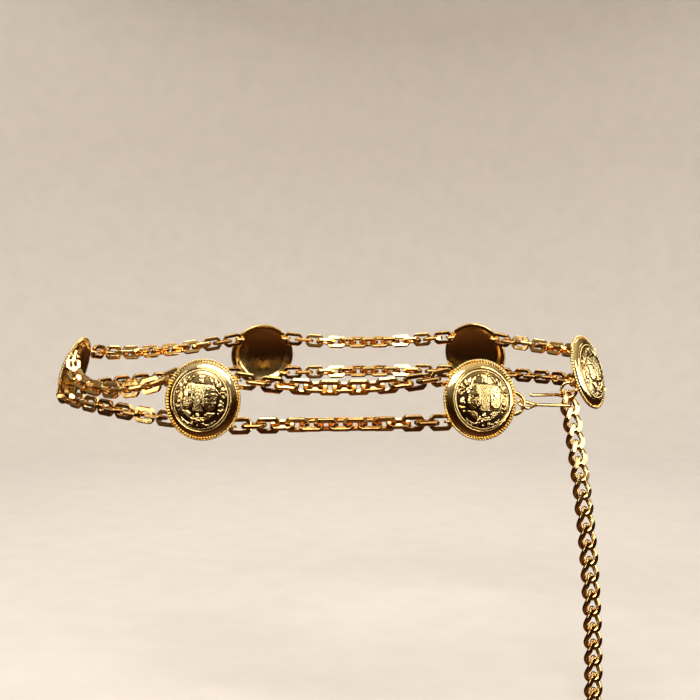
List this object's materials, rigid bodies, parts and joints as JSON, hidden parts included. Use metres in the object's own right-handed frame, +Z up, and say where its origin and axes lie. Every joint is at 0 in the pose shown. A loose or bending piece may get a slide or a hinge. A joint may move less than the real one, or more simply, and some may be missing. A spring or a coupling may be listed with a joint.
{
  "type": "waist chain",
  "caption": "Gold waist chain worn as a loop: domed relief medallions joined by double runs of cable chain, closed by a wire hook in a hanging curb chain.",
  "frame": {"origin": "middle of the waist that the loop goes round, at the height of the middle of the two front medallions", "axes": "+Z up, -Y the wearer's front, +X the wearer's left, where the hook and the hanging chain are"},
  "size_m": [0.3388, 0.2199, 0.22],
  "materials": {
    "medallion_gold": "gold plate, polished band and rim, relief lightly toned in its hollows",
    "cable_gold": "polished gold plate with filed faces",
    "wire_gold": "polished gold plated wire",
    "curb_gold": "polished gold plate with flat filed faces"
  },
  "bodies": {
    "root": {"medallion_1": "medallion_gold", "medallion_2": "medallion_gold", "medallion_3": "medallion_gold", "medallion_4": "medallion_gold", "medallion_5": "medallion_gold", "medallion_6": "medallion_gold", "upper_chain_1_2": "cable_gold", "lower_chain_1_2": "cable_gold", "upper_chain_2_3": "cable_gold", "lower_chain_2_3": "cable_gold", "upper_chain_4_5": "cable_gold", "lower_chain_4_5": "cable_gold", "upper_chain_5_6": "cable_gold", "lower_chain_5_6": "cable_gold", "upper_chain_6_1": "cable_gold", "lower_chain_6_1": "cable_gold", "hook": "wire_gold", "jump_ring": "wire_gold", "curb_chain": "curb_gold"}
  },
  "joints": []
}
